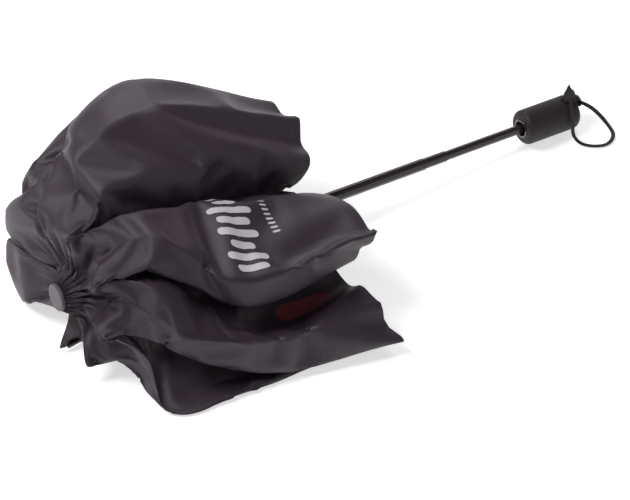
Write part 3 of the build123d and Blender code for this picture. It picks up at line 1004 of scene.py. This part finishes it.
@dataclass(frozen=True)
class ClothPhysics:
    """Stiffness and hold of the cloth while it settles."""

    steps: int = 24
    slack: float = 0.07
    quality: int = 5
    mass: float = 0.15
    stretch: float = 15.0
    shear: float = 5.0
    bending: float = 4.0
    weight: float = 0.05
    loose_hold: float = 0.1
    ridge_hold: float = 0.3

    def hold(self, rows: int, half: int) -> np.ndarray:
        """How firmly each point is held: seams and crown firmly, ridges lightly.

        Args:
            rows: Rows of the grid.
            half: Columns from a seam to the panel's middle.

        Returns:
            The hold of each point, from 0 to 1, shaped rows, columns.
        """
        columns = 2 * half * RIBS
        along = np.linspace(0, 1, rows)[:, None] * np.ones((1, columns))
        across = np.abs((np.arange(columns) % (2 * half)) - half) / half
        on_seam = np.clip((across - 0.9) / 0.1, 0, 1)[None, :]
        seam = on_seam * np.clip((along - 0.12) / 0.1, 0, 1)
        crown = np.clip((0.13 - along) / 0.06, 0, 1)
        on_ridge = np.clip((0.08 - across) / 0.08, 0, 1)[None, :]
        ridge = on_ridge * np.clip((along - 0.6) / 0.3, 0, 1)
        return np.maximum.reduce([seam, crown, self.loose_hold + self.ridge_hold * ridge])

    def settle(self, sheet: bpy.types.Object, hold: np.ndarray) -> np.ndarray:
        """Lets the cloth take up its slack in creases.

        Args:
            sheet: The cloth.
            hold: How firmly each point is held.

        Returns:
            The settled coordinates, as x, y, z, x, y, z and so on.
        """
        group = sheet.vertex_groups.new(name="hold")
        for index, weight in enumerate(hold.reshape(-1)):
            group.add([index], float(weight), "REPLACE")
        cloth = sheet.modifiers.new("settle", "CLOTH")
        settings = cloth.settings
        settings.quality, settings.mass = self.quality, self.mass
        settings.tension_stiffness = settings.compression_stiffness = self.stretch
        settings.shear_stiffness, settings.bending_stiffness = self.shear, self.bending
        settings.vertex_group_mass, settings.pin_stiffness = "hold", 1.0
        settings.shrink_min = settings.shrink_max = -self.slack
        settings.effector_weights.gravity = self.weight
        cloth.collision_settings.use_collision = False
        cloth.collision_settings.use_self_collision = False
        scene = bpy.context.scene
        for number in range(1, self.steps + 1):
            scene.frame_set(number)
        settled = sheet.evaluated_get(bpy.context.evaluated_depsgraph_get()).data
        points = np.zeros(len(sheet.data.vertices) * 3, np.float32)
        settled.vertices.foreach_get("co", points)
        sheet.modifiers.remove(cloth)
        return points


@dataclass(frozen=True)
class Canopy:
    """Eight panels sewn into one sheet, folded loosely round the closed ribs.

    Lengths are in mm of the shaft frame, except cut, area and the cloth's coordinates.
    """

    ribs: Ribs = Ribs()
    physics: ClothPhysics = ClothPhysics()
    half: int = 20
    rows: int = 84
    gathers: tuple[tuple[float, float], ...] = ((3.3, 7.0), (5.0, 12.6), (14.0, 19.5))
    gather_shares: tuple[float, ...] = (0, 0.3, 0.5, 0.7, 1)
    knee_row: tuple[float, float] = (8.5, 64.0)
    shoulder_t: float = 20.0
    rib_shares: tuple[float, float] = (0.22, 0.56)
    hem_t: float = 222.3
    crispness: tuple[float, ...] = (0, 0, 0, 0.1, 0.2, 0.5, 0.9, 1.0)
    gathered_t: float = 3.4
    pile: float = 0.006
    pile_depth: float = 0.014
    cut: tuple[float, float] = (1.142, 1.142)
    area: float = 0.5

    # Folds of each panel, from the knees to the hem: three points (t, azimuth, radius) a row.
    FLAPS: ClassVar[list] = [
        [
            [(6, 4, 90), (5, 20, 93), (7, 36, 82)],
            [(20, 2, 96), (19, 20, 102), (20, 36, 94)],
            [(48, 0, 104), (46, 22, 117), (50, 36, 112)],
            [(110, -3, 108), (105, 18, 135), (110, 34, 138)],
            [(235, -3, 90), (246, 12, 104), (240, 30, 80)],
        ],
        [
            [(12, 50, 76), (20, 66, 70), (20, 83, 66)],
            [(24, 48, 90), (34, 66, 84), (32, 84, 72)],
            [(50, 44, 112), (50, 64, 108), (50, 84, 84)],
            [(125, 41.5, 146), (130, 62, 124), (140, 86, 82)],
            [(248, 42, 97), (252, 66, 82), (238, 97, 62)],
        ],
        [
            [(24, 98, 62), (36, 112, 60), (24, 128, 62)],
            [(34, 97, 68), (46, 114, 72), (32, 131, 68)],
            [(56, 96, 72), (62, 118, 84), (54, 136, 78)],
            [(130, 100, 58), (120, 152, 106), (122, 168, 92)],
            [(243, 133, 72), (245, 152, 118), (238, 173, 86)],
        ],
        [
            [(26, 142, 62), (38, 158, 60), (26, 173, 62)],
            [(36, 142, 68), (46, 162, 74), (34, 176, 70)],
            [(56, 148, 78), (60, 170, 92), (54, 184, 84)],
            [(125, 184, 92), (128, 180, 120), (124, 196, 122)],
            [(232, 185, 95), (240, 182, 128), (243, 192, 158)],
        ],
        [
            [(26, 187, 62), (36, 202, 60), (26, 216, 62)],
            [(34, 189, 72), (44, 204, 84), (36, 216, 72)],
            [(50, 206, 96), (52, 208, 125), (52, 217, 100)],
            [(125, 203, 128), (120, 205, 142), (125, 212, 104)],
            [(236, 196, 129), (240, 198, 139), (236, 206, 101)],
        ],
        [
            [(26, 232, 60), (38, 248, 54), (26, 264, 60)],
            [(36, 231, 64), (48, 247, 58), (36, 263, 62)],
            [(50, 222, 86), (50, 236, 74), (50, 258, 63)],
            [(125, 222, 70), (125, 236, 64), (125, 256, 54)],
            [(238, 212, 66), (238, 222, 60), (236, 250, 42)],
        ],
        [
            [(26, 277, 60), (36, 292, 56), (24, 308, 64)],
            [(36, 277, 62), (46, 294, 62), (34, 310, 70)],
            [(50, 282, 64), (50, 304, 74), (50, 318, 86)],
            [(125, 284, 54), (125, 304, 66), (125, 316, 78)],
            [(236, 290, 43), (238, 310, 58), (238, 322, 66)],
        ],
        [
            [(11, 320, 92), (9, 338, 92), (8, 354, 92)],
            [(20, 321, 95), (20, 338, 98), (20, 353, 96)],
            [(50, 324, 104), (50, 336, 116), (50, 352, 108)],
            [(125, 322, 90), (125, 334, 122), (120, 352, 112)],
            [(238, 330, 80), (240, 338, 104), (238, 352, 96)],
        ],
    ]

    @staticmethod
    def polar(t: float, azimuth: float, r: float) -> tuple[float, float, float]:
        """Point of the shaft frame at an azimuth and a radius."""
        return t, r * math.cos(math.radians(azimuth)), r * math.sin(math.radians(azimuth))

    def gather(self, t: float, r: float, panel: int) -> list[tuple[float, float, float]]:
        """Control points of a row in the gather behind the cap."""
        start = PANEL_TURN * panel
        return [self.polar(t, start + PANEL_TURN * share, r) for share in self.gather_shares]

    def control_rows(self, panel: int) -> list[np.ndarray]:
        """Control rows of one panel from the crown to the hem.

        Args:
            panel: The panel's number, from 0.

        Returns:
            Rows of five points in mm of the shaft frame.
        """
        rows = [self.gather(*ring, panel) for ring in self.gathers]
        ts = [self.shoulder_t, *[share * self.ribs.tip[0] for share in self.rib_shares], self.hem_t]
        seams = [self.knee_row, *[(t, self.ribs.seam_radius(t)) for t in ts]]
        for (t, r), fold in zip(seams, self.FLAPS[panel]):
            ends = [self.polar(t, PANEL_TURN * (panel + side), r) for side in (0, 1)]
            rows.append([ends[0], *[self.polar(*point) for point in fold], ends[1]])
        return [np.array(row, float) for row in rows]

    def panel_grid(self, panel: int) -> np.ndarray:
        """Fine grid of one panel, rows from crown to hem and columns from seam to seam.

        Args:
            panel: The panel's number, from 0.

        Returns:
            Points in mm of the shaft frame, shaped rows, columns, 3.
        """
        share = np.linspace(0, 1, self.half + 1)
        fine = []
        for row in self.control_rows(panel):
            places = chords(row)
            ridge = places[2]
            wanted = np.concatenate([share * ridge, ridge + share[1:] * (1 - ridge)])
            soft = curve_through(row, places, wanted)
            crisp = self.crispness[len(fine)]
            fine.append(soft * (1 - crisp) + creased(row, places, wanted) * crisp)
        fine = np.array(fine)
        middle = np.linalg.norm(np.diff(fine, axis=0), axis=2).mean(axis=1) ** 0.8
        places = np.concatenate([[0.0], np.cumsum(middle)])
        places /= places[-1]
        wanted = np.linspace(0, 1, self.rows) ** 1.15
        columns = [curve_through(fine[:, c], places, wanted) for c in range(fine.shape[1])]
        return np.array(columns).transpose(1, 0, 2)

    def grid(self) -> np.ndarray:
        """The whole sheet, rows by columns round the shaft, in mm of the shaft frame."""
        parts = [self.panel_grid(panel)[:, :-1] for panel in range(RIBS)]
        return np.concatenate(parts, axis=1)

    def pleats(self, grid: np.ndarray) -> np.ndarray:
        """Presses pleats into the gather that fade towards the knees.

        Args:
            grid: Points of the sheet, shaped rows, columns, 3, which are changed.

        Returns:
            The same points.
        """
        rows, columns = grid.shape[:2]
        column = np.arange(columns)
        turn = column * math.tau / (2 * self.half)
        broad = np.sin(turn * 3.0 + 0.8 * np.sin(turn / 8)) + 0.4 * np.sin(turn * 5.0 + 1.3)
        fine = np.sin(turn * 6.0) + 0.4 * np.sin(turn * 4.0 + 0.7)
        radius = np.hypot(grid[..., 1], grid[..., 2])
        early = np.clip((0.35 - np.linspace(0, 1, rows)) / 0.1, 0, 1)[:, None]
        out = np.clip((radius - 12) / 10, 0, 1) * np.clip((66 - radius) / 30, 0, 1)
        near = np.clip((radius - 8) / 4, 0, 1) * np.clip((26 - radius) / 12, 0, 1)
        grid[..., 0] += (2.2 * broad[None, :] * out + 1.3 * fine[None, :] * near) * early
        return grid

    def dress(self, sheet: bpy.types.Object, finish: bpy.types.Material) -> None:
        """Gives the sheet its finish and its body.

        Args:
            sheet: The canopy.
            finish: The cloth's material.
        """
        sheet.data.materials.append(finish)
        gathered = tuple(SHAFT.place(self.gathered_t, 0, 0))
        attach(sheet, Body.CROWN.value)
        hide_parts(*[f"panel_{rib}" for rib in range(1, RIBS + 1)])
        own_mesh(sheet)

    def build(self) -> bpy.types.Object:
        """Makes the sheet, folded and settled, with its cloth coordinates.

        Returns:
            The canopy.
        """
        grid = self.pleats(self.grid())
        rows, columns = grid.shape[:2]
        points = SHAFT.many(grid.reshape(-1, 3))
        points[:, 2] = self.on_table(points[:, 2])
        sheet = mesh_piece("canopy", points, ring_faces(rows, columns))
        settled = self.physics.settle(sheet, self.physics.hold(rows, self.half))
        settled[2::3] = self.on_table(settled[2::3])
        sheet.data.vertices.foreach_set("co", settled)
        sheet.data.update()
        bpy.context.scene.frame_set(1)
        self.lay_cloth_map(sheet, rows, columns)
        return sheet

    def on_table(self, heights: np.ndarray) -> np.ndarray:
        """Presses what would pass through the table into a thin pile that keeps its order."""
        under = np.minimum(heights, self.pile) - self.pile
        pressed = self.pile * np.exp(under / self.pile_depth)
        return np.where(heights < self.pile, pressed, heights)

    def lay_cloth_map(self, sheet: bpy.types.Object, rows: int, columns: int) -> None:
        """Gives the sheet coordinates of the flat cloth, in metres.

        Args:
            sheet: The canopy.
            rows: Rows of the grid.
            columns: Columns of the grid.
        """
        layer = sheet.data.uv_layers.new(name=CLOTH_MAP)
        across = columns // RIBS
        index = 0
        for face in sheet.data.polygons:
            i, j = divmod(face.index, columns)
            for di, dj in ((0, 0), (1, 0), (1, 1), (0, 1)):
                panel = j // across
                u = (j % across + dj) / across - 0.5
                v = (i + di) / (rows - 1)
                layer.data[index].uv = (panel + 0.4 * u * (0.25 + 0.75 * v), 0.33 * v)
                index += 1


# ---- Finishes ----


FINISHES = {
    Slot.CAP: Finish(
        "cap_plastic",
        (0.133, 0.107, 0.130),
        rough=(0.42, 0.55),
        grain=0.0006,
        bump=0.00003,
        wear=0.4,
        worn=(0.25, 0.22, 0.25),
    ),
    Slot.BLACK: Finish("black_plastic", (0.02, 0.02, 0.022), rough=(0.4, 0.55)),
    Slot.BUTTON: Finish("button_plastic", (0.03, 0.03, 0.033), rough=(0.15, 0.25)),
    Slot.WIRE: Finish("bare_wire", (0.5, 0.5, 0.5), metallic=1.0, rough=(0.25, 0.4)),
    Slot.SHAFT: Finish(
        "shaft_enamel",
        (0.024, 0.013, 0.014),
        rough=(0.24, 0.36),
        grain=0.0008,
        bump=0.000008,
        wear=0.5,
        worn=(0.16, 0.14, 0.14),
        coat=0.25,
    ),
    Slot.RIB: Finish(
        "rib_enamel", (0.03, 0.03, 0.032), rough=(0.3, 0.45), wear=0.5, worn=(0.2, 0.2, 0.2)
    ),
    Slot.GRIP: Finish(
        "soft_touch_coating",
        (0.019, 0.011, 0.013),
        rough=(0.55, 0.68),
        grain=0.0003,
        bump=0.00002,
        sheen=0.05,
    ),
    Slot.COLLAR: Finish(
        "polished_ring", (0.012, 0.011, 0.014), rough=(0.06, 0.12), bump=0.000002, coat=0.6
    ),
}


def bar_row() -> tuple[tuple[float, float, float, float, float], ...]:
    """Row of bars of uneven length near the hem, with a dot and a line of small dots.

    Returns:
        Across, along, half width, half length and radius of each.
    """
    seam = 2.0
    halves = (0.008, 0.012, 0.006, 0.012, 0.009, 0.013, 0.005)
    bars = [
        (seam - 0.018 - 0.0145 * k, 0.246, 0.0008, half, 0.0036) for k, half in enumerate(halves)
    ]
    bars.append((seam - 0.124, 0.240, 0.0, 0.0, 0.0085))
    bars += [(seam - 0.06 - 0.0065 * k, 0.274, 0.0, 0.0012, 0.0014) for k in range(8)]
    return tuple(bars)


CLOTH = WovenFinish(
    "umbrella_cloth",
    (0.040, 0.025, 0.040),
    pitch=0.0008,
    bump=0.00006,
    rough=(0.38, 0.52),
    sheen=0.13,
    sheen_rough=0.4,
    drift=0.12,
    prints=(
        Print((0.60, 0.58, 0.61), bar_row()),
        Print((0.20, 0.035, 0.045), ((2.93, 0.292, 0.004, 0.012, 0.010),)),
    ),
    stitch=True,
)

RIBBON = WovenFinish(
    "strap_ribbon",
    (0.022, 0.018, 0.022),
    pitch=0.0006,
    bump=0.00008,
    rough=(0.6, 0.75),
    sheen=0.15,
    sheen_rough=0.5,
    drift=0.1,
)


# ---- Assembly ----


def dress_frame(effects: Effects) -> None:
    """Gives each CAD node that stays in sight the finish of its slot.

    Args:
        effects: The shared node groups.
    """
    made = {slot.value: finish.material(effects) for slot, finish in FINISHES.items()}
    owners = {n: m["slot"] for m in frame["record"]["materials"] for n in m.get("nodes", [])}
    for name, node in frame["nodes"].items():
        slot = owners.get(name) or node.data.materials[0].name
        finish = made.get(slot.split(".")[0])
        if finish:
            node.data.materials.clear()
            node.data.materials.append(finish)
            LOG.info("node %s has %s", name, finish.name)


def main() -> None:
    """Builds everything in order and reports each piece."""
    logging.basicConfig(level=logging.INFO, format="%(name)s: %(message)s")
    effects = Effects()
    studio = Studio()
    studio.camera()
    for piece in WristStrap().build(RIBBON.material(effects)):
        LOG.info("piece %s has %d faces", piece.name, len(piece.data.polygons))
    canopy = Canopy()
    sheet = canopy.build()
    canopy.dress(sheet, CLOTH.material(effects))
    LOG.info("piece %s measures %.4f m2", sheet.name, sum(p.area for p in sheet.data.polygons))
    dress_frame(effects)
    studio.build()


if __name__ == "__main__":
    main()
